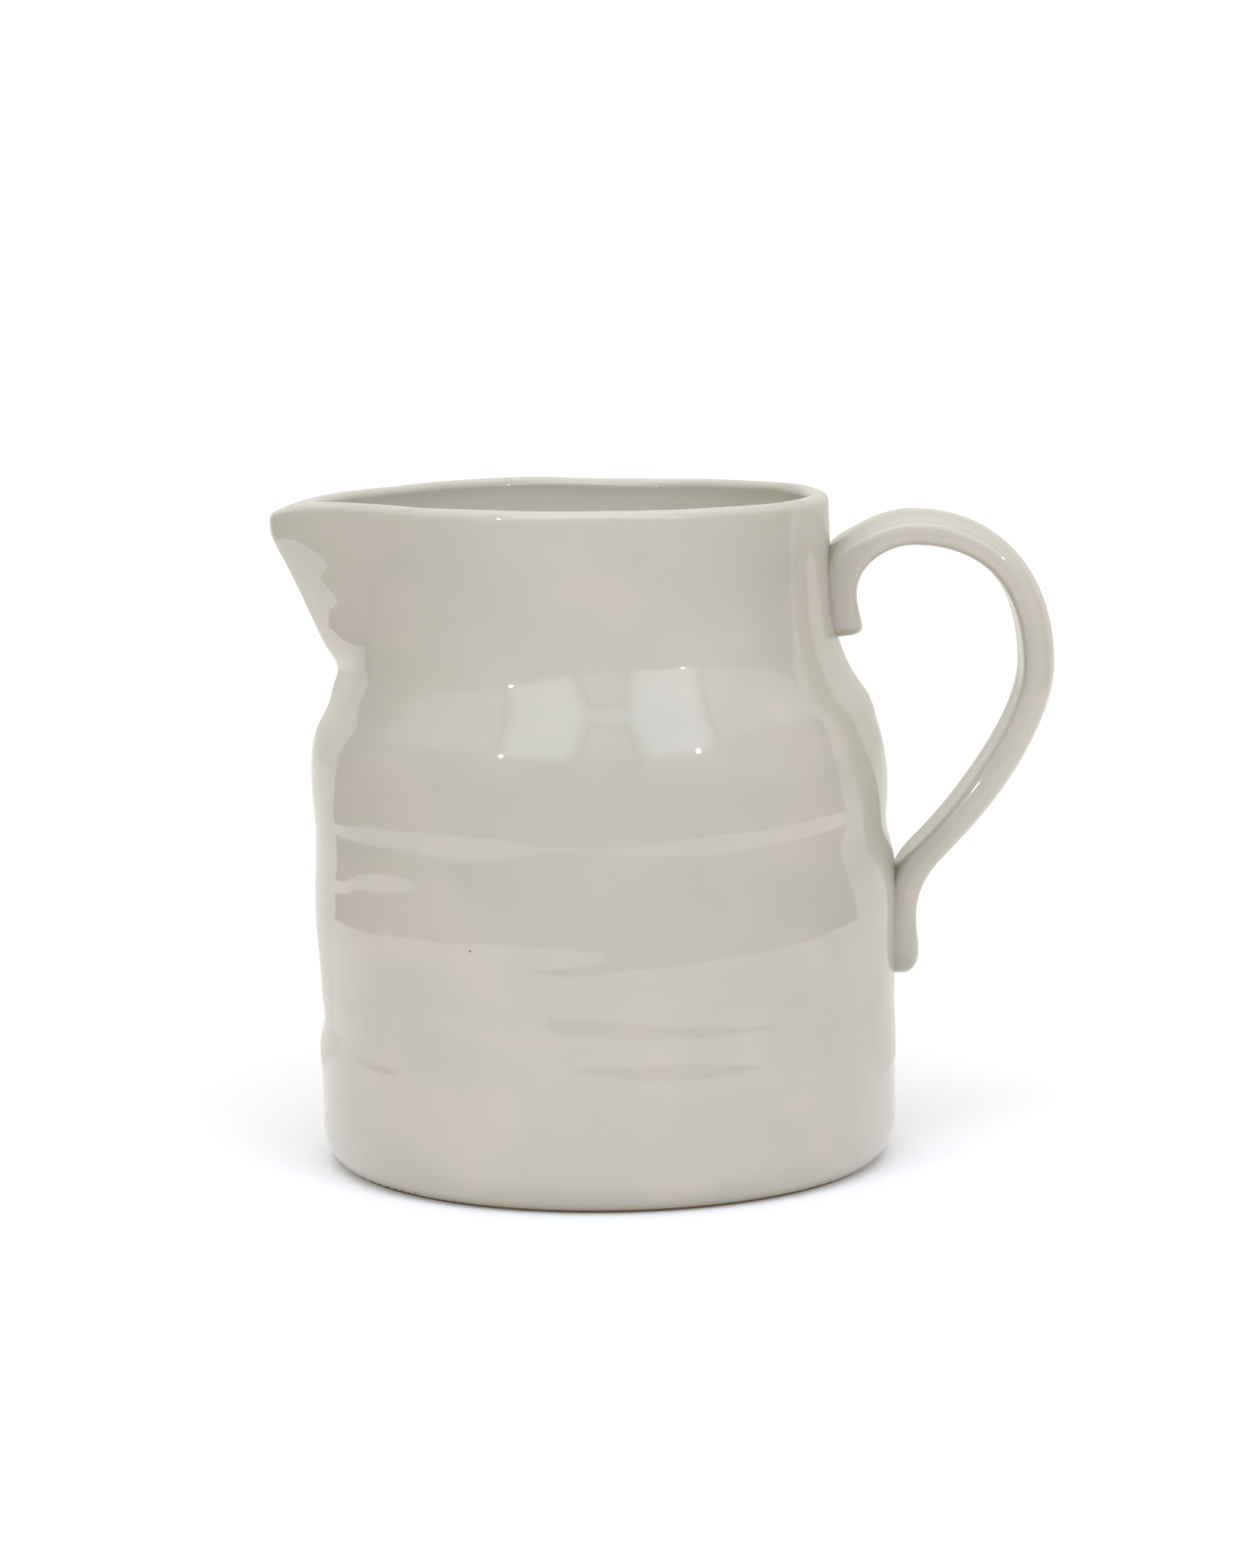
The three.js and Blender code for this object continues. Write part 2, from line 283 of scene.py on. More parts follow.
# The notch is an oval on the wall's unrolled surface, with its middle on the rim, so it goes over the lip.
NOTCH_HALF_WIDTH = math.radians(46)
NOTCH_HALF_HEIGHT = 50 * MM
SLIP = 1.2 * MM


def notch(turn, grown):
    """The notch's edge at a turn of -90 to 90 degrees across it: side, and how far from the rim."""
    half_width = NOTCH_HALF_WIDTH + grown / wall_radius(RIM)
    side = half_width * (0.55 * np.sin(turn) + 0.45 * turn / (math.pi / 2))
    reach = (NOTCH_HALF_HEIGHT + grown) * np.cos(turn)
    return side, reach


def glaze_and_painted_light_marks(side, along):
    """Paler on the lip, for thin glaze and a painted highlight, and over the whole inside as painted light;
    darker at foot and inside corner, for pooled glaze and painted shade.
    """
    z = np.interp(along, section_s, section[:, 1])
    # Painted highlight with thin glaze on the lip, and painted light over the whole inside.
    thin_and_lit = np.exp(-(((along - S_RIM) / (2.6 * MM)) ** 2))
    thin_and_lit = np.maximum(thin_and_lit * 0.6, smooth(along, S_RIM + 2 * MM, S_RIM + 9 * MM))
    # Painted shade with pooled glaze at the foot and the inside corner.
    pool_and_shade = np.exp(-(((along - S_FOOT) / (2.5 * MM)) ** 2))
    inner_corner = np.where(along > S_RIM, np.exp(-(((z - FLOOR_TOP) / (6 * MM)) ** 2)), 0)
    return {"thin_glaze_and_painted_light": thin_and_lit, "pooled_glaze_and_painted_shade": np.clip(pool_and_shade + 0.5 * inner_corner, 0, 1)}


NOTCH_COLUMNS = 97
BACK_COLUMNS = 196
rise_rows = np.concatenate([np.linspace(0, 0.972, 150)[:-1], np.linspace(0.972, 1, 13)])
fall_rows = np.concatenate([np.linspace(0, 0.03, 11)[:-1], np.linspace(0.03, 1, 64)])
notch_turn = np.linspace(-math.pi / 2, math.pi / 2, NOTCH_COLUMNS)
notch_side, notch_reach = notch(notch_turn, SLIP)
back_side = np.linspace(notch_side[-1], 2 * math.pi + notch_side[0], BACK_COLUMNS + 2)[1:-1]
pot_side = np.concatenate([notch_side, back_side])
pot_reach = np.concatenate([notch_reach, np.zeros(BACK_COLUMNS)])
start_s = S_FOOT * 0.02
outer_s = start_s + rise_rows[:, None] * (S_RIM - pot_reach - start_s)[None, :]
inner_s = (S_RIM + pot_reach)[None, :] + fall_rows[:, None] * (S_END - 1 * MM - S_RIM - pot_reach)[None, :]
pot_s = np.concatenate([outer_s, inner_s])
pot_a = np.broadcast_to(pot_side, pot_s.shape)
pot_points = wall_point(pot_a, pot_s).reshape(-1, 3)
pot_normals = wall_normal(pot_a, pot_s).reshape(-1, 3)
pot_marks = {label: values.ravel() for label, values in glaze_and_painted_light_marks(pot_a, pot_s).items()}
outer_rows = len(rise_rows)
pot_grid = np.arange(pot_s.size).reshape(pot_s.shape)
pot_grid[outer_rows, NOTCH_COLUMNS:] = pot_grid[outer_rows - 1, NOTCH_COLUMNS:]
pot_grid[outer_rows, [0, NOTCH_COLUMNS - 1]] = pot_grid[outer_rows - 1, [0, NOTCH_COLUMNS - 1]]
outer_grid, inner_grid = pot_grid[:outer_rows], pot_grid[outer_rows:]
pot_faces = quads(outer_grid, closed=True) + quads(inner_grid, closed=True)
cut = np.stack([outer_grid[-1, :NOTCH_COLUMNS], inner_grid[0, :NOTCH_COLUMNS]])
pot_faces += quads(cut[:, 1:-1]) + [[cut[0, 0], cut[0, 1], cut[1, 1]], [cut[0, -2], cut[0, -1], cut[1, -2]]]
under_pole, floor_pole = pot_s.size, pot_s.size + 1
pot_faces += fan(under_pole, [*outer_grid[0, ::-1], outer_grid[0, -1]])
pot_faces += fan(floor_pole, [*inner_grid[-1], inner_grid[-1, 0]])
pot_points = np.concatenate([pot_points, [[AXIS_X, 0, UNDERSIDE], [AXIS_X, 0, FLOOR_TOP]]])
pot_normals = np.concatenate([pot_normals, [[0, 0, -1], [0, 0, 1]]])
pot_marks = {label: np.concatenate([values, [0, 0]]) for label, values in pot_marks.items()}
pot = make_piece("pot", pot_points, pot_faces, pot_normals, pot_marks)


def from_hex(code):
    """A linear colour from an sRGB hex value."""
    parts = [int(code[place : place + 2], 16) / 255 for place in (0, 2, 4)]
    linear = [part / 12.92 if part <= 0.04045 else ((part + 0.055) / 1.055) ** 2.4 for part in parts]
    return (*linear, 1)


def add_node(tree, kind, inputs=None, **settings):
    """One node with its settings; an input is given a value or the output that feeds it."""
    made = tree.nodes.new(kind)
    for key, value in settings.items():
        setattr(made, key, value)
    for key, value in (inputs or {}).items():
        if isinstance(value, bpy.types.NodeSocket):
            tree.links.new(value, made.inputs[key])
        else:
            made.inputs[key].default_value = value
    return made


def mixed(tree, factor, first, second):
    mix = add_node(tree, "ShaderNodeMix", data_type="RGBA")
    for place, value in ((0, factor), (6, first), (7, second)):
        if isinstance(value, bpy.types.NodeSocket):
            tree.links.new(value, mix.inputs[place])
        else:
            mix.inputs[place].default_value = value
    return mix.outputs[2]


# Glossy stoneware glaze: a clear glass coat over a greige opaque one, fired on. Its colour is painted darker
# in hollows and creases, for pooled glaze and painted shade; paler on the lip and the handle's crowned back,
# for thin glaze and a painted highlight; and paler over the whole inside as painted light. It shows a few
# pinholes where iron burned out of the clay.
GREIGE = "b7b0a1"
GREIGE_WARM = "bdb3a6"
GREIGE_COOL = "b4aea0"
# Painted shade with pooled glaze: the colour for hollows and creases.
POOLED_GLAZE_AND_SHADE = "9f9882"
# Painted highlight and painted light with thin glaze: the colour for the lip, the inside and the handle's
# back.
THIN_GLAZE_AND_LIT = "d2caba"
PINHOLE = "6b6250"


def glazed_stoneware(name):
    material = bpy.data.materials.new(name)
    material.use_nodes = True
    tree = material.node_tree
    tree.nodes.clear()
    place = add_node(tree, "ShaderNodeTexCoord").outputs["Object"]
    # Clouds of tone about 45 mm across, drawn out along the throwing marks.
    stretched = add_node(tree, "ShaderNodeMapping", {"Vector": place, "Scale": (1, 1, 1.6)}).outputs[0]
    clouds = add_node(
        tree, "ShaderNodeTexNoise", {"Vector": stretched, "Scale": 1 / 0.045, "Detail": 2.5, "Roughness": 0.5}
    )
    warm = add_node(
        tree, "ShaderNodeMapRange", {"Value": clouds.outputs[0], "From Min": 0.42, "From Max": 0.62}
    )
    drift = add_node(tree, "ShaderNodeTexNoise", {"Vector": place, "Scale": 1 / 0.03, "Detail": 1.5})
    cool = add_node(
        tree, "ShaderNodeMapRange", {"Value": drift.outputs[0], "From Min": 0.5, "From Max": 0.75}
    )
    tone = mixed(tree, warm.outputs[0], from_hex(GREIGE), from_hex(GREIGE_WARM))
    tone = mixed(tree, cool.outputs[0], tone, from_hex(GREIGE_COOL))
    thin_and_lit = add_node(tree, "ShaderNodeAttribute", attribute_name="thin_glaze_and_painted_light").outputs["Fac"]
    pool_and_shade = add_node(tree, "ShaderNodeAttribute", attribute_name="pooled_glaze_and_painted_shade").outputs["Fac"]
    # Painted highlight and painted light, with thin glaze, make the lip, the inside and the handle's back
    # paler.
    tone = mixed(tree, thin_and_lit, tone, from_hex(THIN_GLAZE_AND_LIT))
    # Painted shade, with pooled glaze, makes hollows and creases darker.
    pooled_and_shaded = add_node(tree, "ShaderNodeMath", {0: pool_and_shade, 1: 0.75}, operation="MULTIPLY").outputs[0]
    tone = mixed(tree, pooled_and_shaded, tone, from_hex(POOLED_GLAZE_AND_SHADE))
    # Pinholes about 0.7 mm across, in cells of 26 mm.
    cells = add_node(tree, "ShaderNodeTexVoronoi", {"Vector": place, "Scale": 1 / 0.026})
    hole = add_node(
        tree,
        "ShaderNodeMapRange",
        {"Value": cells.outputs["Distance"], "From Min": 0.009, "From Max": 0.017, "To Min": 1, "To Max": 0},
    ).outputs[0]
    tone = mixed(tree, hole, tone, from_hex(PINHOLE))
    # The glaze lies in a ripple 9 mm long, and in an orange peel of 2.5 mm.
    ripple = add_node(tree, "ShaderNodeTexNoise", {"Vector": place, "Scale": 1 / 0.009, "Detail": 1})
    peel = add_node(tree, "ShaderNodeTexNoise", {"Vector": place, "Scale": 1 / 0.0025, "Detail": 0})
    long_bump = add_node(
        tree, "ShaderNodeBump", {"Height": ripple.outputs[0], "Distance": 0.00006, "Strength": 1}
    )
    fine_bump = add_node(
        tree,
        "ShaderNodeBump",
        {"Height": peel.outputs[0], "Distance": 0.000004, "Strength": 1, "Normal": long_bump.outputs[0]},
    )
    shader = add_node(
        tree,
        "ShaderNodeBsdfPrincipled",
        {
            "Base Color": tone,
            "Roughness": 0.38,
            "IOR": 1.45,
            "Specular IOR Level": 0.15,
            "Coat Weight": 1.0,
            "Coat Roughness": 0.035,
            "Coat IOR": 1.5,
            "Normal": long_bump.outputs[0],
            "Coat Normal": fine_bump.outputs[0],
        },
    )
    add_node(tree, "ShaderNodeOutputMaterial", {"Surface": shader.outputs[0]})
    return material


glaze = glazed_stoneware("greige_glazed_stoneware")
pot.data.materials.append(glaze)
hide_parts("vessel_body")
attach(pot, "root")

# ---------------------------------------------------------------------------------------------------------
# The pouring spout: a slab of the same clay folded to a soft V and let into the notch. Its outside carries
# on the neck's own line, and its lip is the rim's, drawn out to a rounded nose.
# ---------------------------------------------------------------------------------------------------------
SPOUT_ROWS = 141
spout_side, spout_reach = notch(notch_turn, 0)
over_lip = np.linspace(-1, 1, SPOUT_ROWS)
over_lip = np.sign(over_lip) * np.abs(over_lip) ** 1.35
spout_s = S_RIM + over_lip[:, None] * spout_reach[None, :]
spout_a = np.broadcast_to(spout_side, spout_s.shape)
spout_points = wall_point(spout_a, spout_s).reshape(-1, 3)
spout_normals = wall_normal(spout_a, spout_s).reshape(-1, 3)
spout_marks = {label: values.ravel() for label, values in glaze_and_painted_light_marks(spout_a, spout_s).items()}
spout_grid = np.arange(spout_s.size).reshape(spout_s.shape)
first_end, last_end = spout_grid[0, 0], spout_grid[0, -1]
spout_faces = quads(spout_grid[:, 1:-1])
spout_faces += fan(first_end, spout_grid[:, 1]) + fan(last_end, spout_grid[::-1, -2])
cut = spout_grid[[-1, 0], 1:-1]
spout_faces += quads(cut) + [[first_end, cut[0, 0], cut[1, 0]], [last_end, cut[1, -1], cut[0, -1]]]
spout = make_piece("spout", spout_points, spout_faces, spout_normals, spout_marks)
spout.data.materials.append(glaze)
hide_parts("pouring_spout")
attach(spout, "root")

# ---------------------------------------------------------------------------------------------------------
# The spout's seam: slip worked into the joint between the notch and the spout and smoothed off, so that the
# glaze runs over it without a step. It goes round the notch on the outside, over the lip and back inside.
# ---------------------------------------------------------------------------------------------------------
SEAM_STEPS = 2 * (NOTCH_COLUMNS - 1)
seam_turn = np.linspace(0, 2 * math.pi, SEAM_STEPS, endpoint=False)


def notch_loop(grown):
    """The whole oval, outside and inside the rim: side, and place along the section."""
    side, reach = notch(np.arcsin(np.sin(seam_turn)), grown)
    return side, S_RIM - np.sign(np.cos(seam_turn)) * np.abs(reach)


seam_a, seam_s = np.stack([notch_loop(SLIP * share) for share in (1, 0.5, 0)], 1)
seam_points = wall_point(seam_a, seam_s).reshape(-1, 3)
seam_normals = wall_normal(seam_a, seam_s).reshape(-1, 3)
seam_marks = {label: values.ravel() for label, values in glaze_and_painted_light_marks(seam_a, seam_s).items()}
seam_grid = np.arange(seam_a.size).reshape(seam_a.shape)
seam_faces = quads(seam_grid, closed=True)
quarter = SEAM_STEPS // 4
over = np.arange(-quarter, quarter + 1) % SEAM_STEPS
back = (SEAM_STEPS // 2 - over) % SEAM_STEPS
for edge, way in ((seam_grid[0], 1), (seam_grid[2], -1)):
    cut = np.stack([edge[back], edge[over]])[:, ::way]
    seam_faces += quads(cut[:, 1:-1])
    seam_faces += [[cut[0, 0], cut[0, 1], cut[1, 1]], [cut[0, -2], cut[0, -1], cut[1, -2]]]
seam = make_piece("spout_seam", seam_points, seam_faces, seam_normals, seam_marks)
seam.data.materials.append(glaze)
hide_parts("spout_slip_seam")
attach(seam, "root")

# ---------------------------------------------------------------------------------------------------------
# The handle: a strap pulled from one lump of clay, with a crowned back. Both ends are pressed down the wall
# as tails: the upper one is cut off blunt, and the lower one is left with a thumb-rounded end.
# ---------------------------------------------------------------------------------------------------------
strap_low, strap_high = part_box("handle_strap")
STRAP = 9 * MM
STRAP_HALF_WIDTH = (strap_high.y - strap_low.y) / 2
ARCH_TOP = strap_high.z - STRAP / 2 - 0.3 * MM
ARCH_OUT = strap_high.x - STRAP / 2 + 0.4 * MM
UPPER_TIP = 140.8 * MM
UPPER_BEND = 152 * MM
LOWER_TIP = 48.6 * MM
LOWER_BEND = 65 * MM
LOWER_ROOT = 78.5 * MM
ARCH_WIDEST = 132.5 * MM
TAIL_STANDS = 6.2 * MM
TAIL_SUNK = 2.4 * MM
tail_middle = (TAIL_STANDS - TAIL_SUNK) / 2

# Heights and reaches that pull the arch's curve, and how far out the strap is where it leaves the belly.
NECK_PULL = 163.5 * MM
NECK_REACH = 10.6 * MM
CROWN_REACH = 20 * MM
ARCH_UPPER_PULL = 157.5 * MM
ARCH_LOWER_PULL = 119.4 * MM
ROOT_PULL = 97.6 * MM
ROOT_PULL_IN = 13.4 * MM
ROOT_OUT = 5.9 * MM
ROUTE_POINTS = 60


def wall_x(z):
    """How far out the plain wall is on the handle's side."""
    return AXIS_X + lean(z) + wall_radius(z)


def bezier(points, count):
    share = np.linspace(0, 1, count)[:, None]
    line = [np.array(point, float) + 0 * share for point in points]
    while len(line) > 1:
        line = [here * (1 - share) + beside * share for here, beside in zip(line, line[1:])]
    return line[0]


crown = 66.8 * MM
neck_x = wall_x(UPPER_BEND) + tail_middle
belly_x = wall_x(LOWER_BEND) + tail_middle - 0.9 * MM
upper_tip_x = wall_x(UPPER_TIP + 4 * MM) + tail_middle
segments = (
    [(upper_tip_x, UPPER_TIP), (neck_x, UPPER_BEND)],
    [(neck_x, UPPER_BEND), (neck_x, NECK_PULL), (neck_x + NECK_REACH, ARCH_TOP), (crown, ARCH_TOP)],
    [
        (crown, ARCH_TOP),
        (crown + CROWN_REACH, ARCH_TOP),
        (ARCH_OUT, ARCH_UPPER_PULL),
        (ARCH_OUT, ARCH_WIDEST),
    ],
    [
        (ARCH_OUT, ARCH_WIDEST),
        (ARCH_OUT, ARCH_LOWER_PULL),
        (ARCH_OUT - ROOT_PULL_IN, ROOT_PULL),
        (belly_x + ROOT_OUT, LOWER_ROOT + 2 * MM),
    ],
    [
        (belly_x + ROOT_OUT, LOWER_ROOT + 2 * MM),
        (belly_x + 1 * MM, LOWER_ROOT - 4 * MM),
        (belly_x, LOWER_ROOT - 8 * MM),
        (belly_x, LOWER_BEND),
    ],
    [(belly_x, LOWER_BEND), (belly_x, LOWER_TIP)],
)
stretches = [bezier(points, ROUTE_POINTS) for points in segments]
route = np.concatenate([stretches[0]] + [stretch[1:] for stretch in stretches[1:]])
route_length = np.concatenate([[0], np.cumsum(np.hypot(*np.diff(route, axis=0).T))])
STRAP_STEPS = 300
STRAP_SIDES = 48
ramp = np.linspace(-1, 1, STRAP_STEPS)
strap_along = (np.sin(ramp * math.pi / 2) * 0.25 + ramp * 0.75) * 0.5 + 0.5
strap_along = strap_along * route_length[-1]
route_x = np.interp(strap_along, route_length, route[:, 0])
route_z = np.interp(strap_along, route_length, route[:, 1])
kernel = np.hanning(11) / np.hanning(11).sum()


def softened(values):
    """Rounds the route where two of its stretches meet, and leaves its ends where they are."""
    line = np.pad(values, 5, mode="reflect", reflect_type="odd")
    return np.convolve(line, kernel, mode="valid")


route_x, route_z = softened(route_x), softened(route_z)
tangent = np.stack([np.gradient(route_x), np.gradient(route_z)], 1)
tangent = tangent / np.linalg.norm(tangent, axis=1)[:, None]
outward = np.stack([-tangent[:, 1], tangent[:, 0]], 1)

# Half sections, from the middle of the outer face round to the middle of the inner one, as shares of the
# half width and the half thickness: the arch has a crowned back, and the tails are soft rectangles.
ARCH_SECTION = (
    (0, 1), (0.45, 0.93), (0.82, 0.62), (0.985, 0.16), (1.0, -0.4), (0.9, -0.88), (0.6, -1), (0, -0.98),
)
TAIL_SECTION = (
    (0, 1), (0.55, 0.99), (0.86, 0.86), (0.985, 0.5), (0.985, -0.5), (0.86, -0.86), (0.55, -0.99), (0, -1),
)


def rounded_section(half_section):
    """A closed smooth line through a half section and its mirror image."""
    right = np.array(half_section, float)
    left = right[-2:0:-1] * (-1, 1)
    ring = np.concatenate([right, left])
    count = len(ring)
    place = np.linspace(0, count, STRAP_SIDES, endpoint=False)
    index, share = np.floor(place).astype(int), (place % 1)[:, None]
    before, start = ring[(index - 1) % count], ring[index % count]
    end, after = ring[(index + 1) % count], ring[(index + 2) % count]
    return 0.5 * (
        2 * start
        + (end - before) * share
        + (2 * before - 5 * start + 4 * end - after) * share**2
        + (3 * start - before - 3 * end + after) * share**3
    )


from_upper, from_lower = strap_along, route_length[-1] - strap_along
tail_share = np.maximum(
    1 - smooth(from_upper, 15 * MM, 34 * MM), 1 - smooth(from_lower, 22 * MM, 42 * MM)
)
tail_half = (TAIL_STANDS + TAIL_SUNK) / 2
thinner = 1 - 0.09 * smooth(strap_along / route_length[-1], 0.5, 0.85)
half_thick = STRAP / 2 * thinner * (1 - tail_share) + tail_half * tail_share
half_thick = half_thick + 0.9 * MM * np.exp(-(((from_upper - 2 * MM) / (4.5 * MM)) ** 2))
half_thick = half_thick + 0.75 * MM * np.exp(-(((from_lower - 7 * MM) / (5.5 * MM)) ** 2))
half_thick = half_thick + 0.1 * MM * np.sin(strap_along / (17 * MM))
half_thick = half_thick + 0.07 * MM * np.sin(strap_along / (6.5 * MM))
half_wide = STRAP_HALF_WIDTH * (1 - 0.04 * tail_share + 0.015 * np.sin(strap_along / (23 * MM)))


def closing(distance, length, fullness):
    """From 0 at a tip to 1 where the strap has its full size."""
    share = np.clip((distance + 0.01 * MM) / length, 0, 1)
    return (1 - (1 - share) ** fullness) ** (1 / fullness)


half_thick = half_thick * closing(from_upper, 2.4 * MM, 2.2) * closing(from_lower, 6 * MM, 2.1)
half_wide = half_wide * closing(from_upper, 6 * MM, 3.2) * closing(from_lower, 11 * MM, 2.3)
arch_ring, tail_ring = rounded_section(ARCH_SECTION), rounded_section(TAIL_SECTION)
rings = arch_ring[None] * (1 - tail_share)[:, None, None] + tail_ring[None] * tail_share[:, None, None]
web = 2.2 * MM * np.exp(-(((from_upper - 20 * MM) / (6 * MM)) ** 2))
out_by = rings[:, :, 1] * half_thick[:, None] + np.maximum(rings[:, :, 1], 0) * web[:, None]
strap_points = np.stack(
    [
        route_x[:, None] + outward[:, 0, None] * out_by,
        rings[:, :, 0] * half_wide[:, None],
        route_z[:, None] + outward[:, 1, None] * out_by,
    ],
    -1,
).reshape(-1, 3)
strap_grid = np.arange(STRAP_STEPS * STRAP_SIDES).reshape(STRAP_STEPS, -1)
strap_faces = quads(strap_grid[::-1], closed=True)
strap_faces += [strap_grid[0].tolist(), strap_grid[-1, ::-1].tolist()]
root_near = np.maximum(
    np.exp(-(((from_upper - 14 * MM) / (14 * MM)) ** 2)), np.exp(-(((from_lower - 26 * MM) / (12 * MM)) ** 2))
)
strap_marks = {
    # The arch's crowned back is painted paler: thin glaze on its ridge and a painted highlight.
    "thin_glaze_and_painted_light": np.repeat(0.25 * (1 - tail_share), STRAP_SIDES)
    * np.tile(smooth(arch_ring[:, 1], 0.1, 0.9), STRAP_STEPS),
    # Both roots of the strap are painted darker: pooled glaze and painted shade in the crease.
    "pooled_glaze_and_painted_shade": np.repeat(0.12 * root_near, STRAP_SIDES),
}
handle = make_piece("handle", strap_points, strap_faces, marks=strap_marks)
handle.data.materials.append(glaze)
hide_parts("handle_strap")
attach(handle, "root")

# ---------------------------------------------------------------------------------------------------------
# The slip joints under the two tails: a hollow-sided bead of slip swept round each tail. It lies just under
# the wall's surface, so it doesn't show, and what does show is the plain corner where tail and wall meet.
# ---------------------------------------------------------------------------------------------------------
def outer_s_at(z):
    return np.interp(z, section[outside, 1], section_s[outside])


def on_wall(y, z):
    """A point of the wall beside the handle, and the wall's direction there."""
    side = math.pi + np.arcsin(y / wall_radius(z))
    along = outer_s_at(z)
    return wall_point(side, along), wall_normal(side, along)


def tail_outline(bottom, top, half_width, corner_bottom, corner_top, count):
    """A tail's outline on the wall as y and z, evenly spaced, starting at the middle of its bottom edge."""
    turn = np.radians(np.linspace(-90, 0, 16))
    low_y = half_width - corner_bottom + corner_bottom * np.cos(turn)
    low_right = np.stack([low_y, bottom + corner_bottom * (1 + np.sin(turn))], 1)
    back_turn = -turn[::-1]
    high_y = half_width - corner_top + corner_top * np.cos(back_turn)
    high_right = np.stack([high_y, top - corner_top * (1 - np.sin(back_turn))], 1)
    right = np.concatenate([[[0, bottom]], low_right, high_right, [[0, top]]])
    loop = np.concatenate([right, right[-2:0:-1] * (-1, 1)])
    closed = np.concatenate([loop, loop[:1]])
    lengths = np.concatenate([[0], np.cumsum(np.hypot(*np.diff(closed, axis=0).T))])
    even = np.linspace(0, lengths[-1], count, endpoint=False)
    return np.stack([np.interp(even, lengths, closed[:, 0]), np.interp(even, lengths, closed[:, 1])], 1)


def fillet_tree():
    """Sweeps a hollowed section along the path's edges. 'Reach' is the fillet's leg in metres."""
    tree = bpy.data.node_groups.new("slip_fillet", "GeometryNodeTree")
    socket = tree.interface.new_socket
    socket("Path", in_out="INPUT", socket_type="NodeSocketGeometry")
    socket("Reach", in_out="INPUT", socket_type="NodeSocketFloat")
    socket("Steps", in_out="INPUT", socket_type="NodeSocketInt")
    socket("Glaze", in_out="INPUT", socket_type="NodeSocketMaterial")
    socket("Fillet", in_out="OUTPUT", socket_type="NodeSocketGeometry")
    given = add_node(tree, "NodeGroupInput").outputs
    line = add_node(tree, "GeometryNodeMeshToCurve", {0: given["Path"]}).outputs[0]
    facing = add_node(
        tree, "GeometryNodeInputNamedAttribute", {"Name": "along_wall"}, data_type="FLOAT_VECTOR"
    )
    turned = add_node(
        tree, "GeometryNodeSetCurveNormal", {"Curve": line, "Normal": facing.outputs[0]}, mode="FREE"
    )
    hollow = add_node(
        tree,
        "GeometryNodeCurveArc",
        {
            "Resolution": given["Steps"],
            "Radius": given["Reach"],
            "Start Angle": math.pi,
            "Sweep Angle": math.pi / 2,
        },
        mode="RADIUS",
    )
    far_corner = add_node(tree, "ShaderNodeCombineXYZ", {"X": given["Reach"], "Y": given["Reach"]})
    on_wall_end = add_node(tree, "ShaderNodeCombineXYZ", {"X": given["Reach"]}).outputs[0]
    on_tail_end = add_node(tree, "ShaderNodeCombineXYZ", {"Y": given["Reach"]}).outputs[0]
    hollow_placed = add_node(
        tree, "GeometryNodeTransform", {"Geometry": hollow.outputs[0], "Translation": far_corner.outputs[0]}
    )
    along_wall = add_node(tree, "GeometryNodeCurvePrimitiveLine", {"Start": on_wall_end, "End": (0, 0, 0)})
    up_tail = add_node(tree, "GeometryNodeCurvePrimitiveLine", {"End": on_tail_end})
    outline = add_node(tree, "GeometryNodeJoinGeometry")
    for part in (up_tail, along_wall, hollow_placed):
        tree.links.new(part.outputs[0], outline.inputs[0])
    sheet = add_node(
        tree,
        "GeometryNodeCurveToMesh",
        {"Curve": turned.outputs[0], "Profile Curve": outline.outputs[0]},
    )
    joined = add_node(
        tree, "GeometryNodeMergeByDistance", {"Geometry": sheet.outputs[0], "Distance": 0.00001}
    )
    swept = add_node(tree, "GeometryNodeFlipFaces", {0: joined.outputs[0]})
    smooth_faces = add_node(tree, "GeometryNodeSetShadeSmooth", {0: swept.outputs[0]})
    whole = add_node(tree, "GeometryNodeRealizeInstances", {0: smooth_faces.outputs[0]})
    glazed = add_node(
        tree, "GeometryNodeSetMaterial", {"Geometry": whole.outputs[0], "Material": given["Glaze"]}
    )
    add_node(tree, "NodeGroupOutput", {"Fillet": glazed.outputs[0]})
    return tree


def set_inputs(modifier, values):
    for item in modifier.node_group.interface.items_tree:
        if item.in_out == "INPUT" and item.name in values:
            modifier[item.identifier] = values[item.name]


fillet_nodes = fillet_tree()
FILLET_LIFT = -0.16 * MM


def slip_joint(name, node, outline, reach):
    """The fillet round one tail, as a plain mesh made by the sweep."""
    points, normals = on_wall(outline[:, 0], outline[:, 1])
    points = points + normals * FILLET_LIFT
    ahead = np.roll(points, -1, axis=0) - np.roll(points, 1, axis=0)
    away = np.cross(ahead, normals)
    away = away / np.linalg.norm(away, axis=1)[:, None]
    count = len(points)
    path = bpy.data.meshes.new(name + "_path")
    path.from_pydata(points.tolist(), [(step, (step + 1) % count) for step in range(count)], [])
    layer = path.attributes.new("along_wall", "FLOAT_VECTOR", "POINT")
    layer.data.foreach_set("vector", away.astype(np.float32).ravel())
    piece = bpy.data.objects.new(name, path)
    bpy.context.scene.collection.objects.link(piece)
    modifier = piece.modifiers.new("sweep", "NODES")
    modifier.node_group = fillet_nodes
    set_inputs(modifier, {"Reach": reach, "Steps": 9, "Glaze": glaze})
    evaluated = piece.evaluated_get(bpy.context.evaluated_depsgraph_get())
    swept = bpy.data.meshes.new_from_object(evaluated)
    piece.modifiers.clear()
    piece.data = swept
    swept.set_sharp_from_angle(angle=math.radians(60))
    # A little painted shade, with pooled glaze, on the fillets round the tails.
    layer = swept.attributes.new("pooled_glaze_and_painted_shade", "FLOAT", "POINT")
    layer.data.foreach_set("value", [0.05] * len(swept.vertices))
    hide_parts(node)
    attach(piece, "root")


